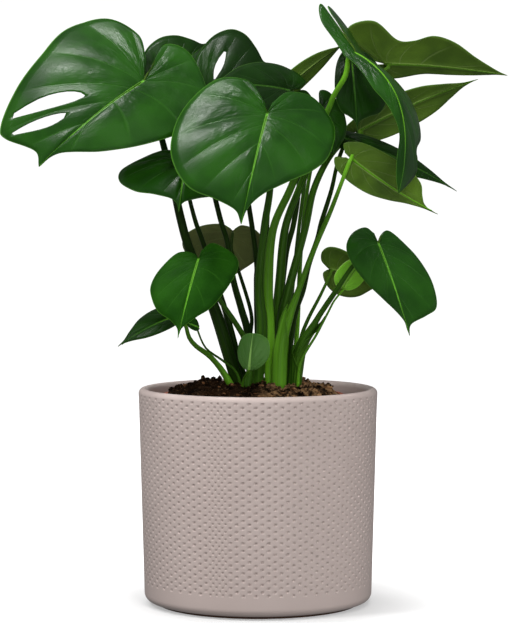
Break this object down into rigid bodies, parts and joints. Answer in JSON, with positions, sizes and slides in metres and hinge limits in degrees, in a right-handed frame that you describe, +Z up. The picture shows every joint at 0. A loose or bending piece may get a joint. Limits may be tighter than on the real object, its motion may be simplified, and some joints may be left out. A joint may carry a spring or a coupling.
{
  "type": "potted monstera plant",
  "caption": "Monstera houseplant with broad heart-shaped leaves on long stalks, growing in a plastic nursery pot of soil that stands inside a dimpled stoneware cover pot.",
  "frame": {"origin": "centre of the flat face under the cover pot's foot", "axes": "+Z up through the plant, -Y towards the front, +X to the right seen from the front"},
  "size_m": [0.5138, 0.255, 0.6019],
  "materials": {
    "cover_pot_glaze": "warm pale grey satin glaze over stoneware",
    "nursery_plastic": "terracotta-coloured moulded plastic",
    "potting_soil": "moist crumbly potting soil of peat and bark",
    "leaf_stalk": "smooth waxy green",
    "leaf_blade": "leathery deep green, glossy above and greyer below",
    "young_leaf_blade": "soft bright green"
  },
  "bodies": {
    "root": {"cover_pot": "cover_pot_glaze", "nursery_pot": "nursery_plastic", "potting_soil": "potting_soil", "stalk_upper_left": "leaf_stalk", "stalk_behind_upper_left": "leaf_stalk", "stalk_top_middle": "leaf_stalk", "stalk_top_dark": "leaf_stalk", "stalk_top_folded": "leaf_stalk", "stalk_front_centre": "leaf_stalk", "stalk_middle_left": "leaf_stalk", "stalk_lower_left": "leaf_stalk", "stalk_behind_stalks": "leaf_stalk", "stalk_low_left": "leaf_stalk", "stalk_at_soil": "leaf_stalk", "stalk_lower_right": "leaf_stalk", "stalk_young_bright": "leaf_stalk", "stalk_behind_young": "leaf_stalk", "stalk_upper_right": "leaf_stalk", "stalk_far_right": "leaf_stalk", "stalk_right_under": "leaf_stalk", "stalk_right_low_folded": "leaf_stalk", "stalk_right_finger": "leaf_stalk", "stalk_behind_centre": "leaf_stalk", "stalk_dark_right": "leaf_stalk", "stalk_tiny_curled": "leaf_stalk", "leaf_upper_left": "leaf_blade", "leaf_behind_upper_left": "leaf_blade", "leaf_top_middle": "leaf_blade", "leaf_top_dark": "leaf_blade", "leaf_top_folded": "leaf_blade", "leaf_front_centre": "leaf_blade", "leaf_middle_left": "leaf_blade", "leaf_lower_left": "leaf_blade", "leaf_behind_stalks": "leaf_blade", "leaf_low_left": "leaf_blade", "leaf_at_soil": "leaf_blade", "leaf_lower_right": "leaf_blade", "leaf_young_bright": "young_leaf_blade", "leaf_behind_young": "leaf_blade", "leaf_upper_right": "leaf_blade", "leaf_far_right": "leaf_blade", "leaf_right_under": "leaf_blade", "leaf_right_low_folded": "leaf_blade", "leaf_right_finger": "leaf_blade", "leaf_behind_centre": "leaf_blade", "leaf_dark_right": "leaf_blade", "leaf_tiny_curled": "leaf_blade"}
  },
  "joints": []
}
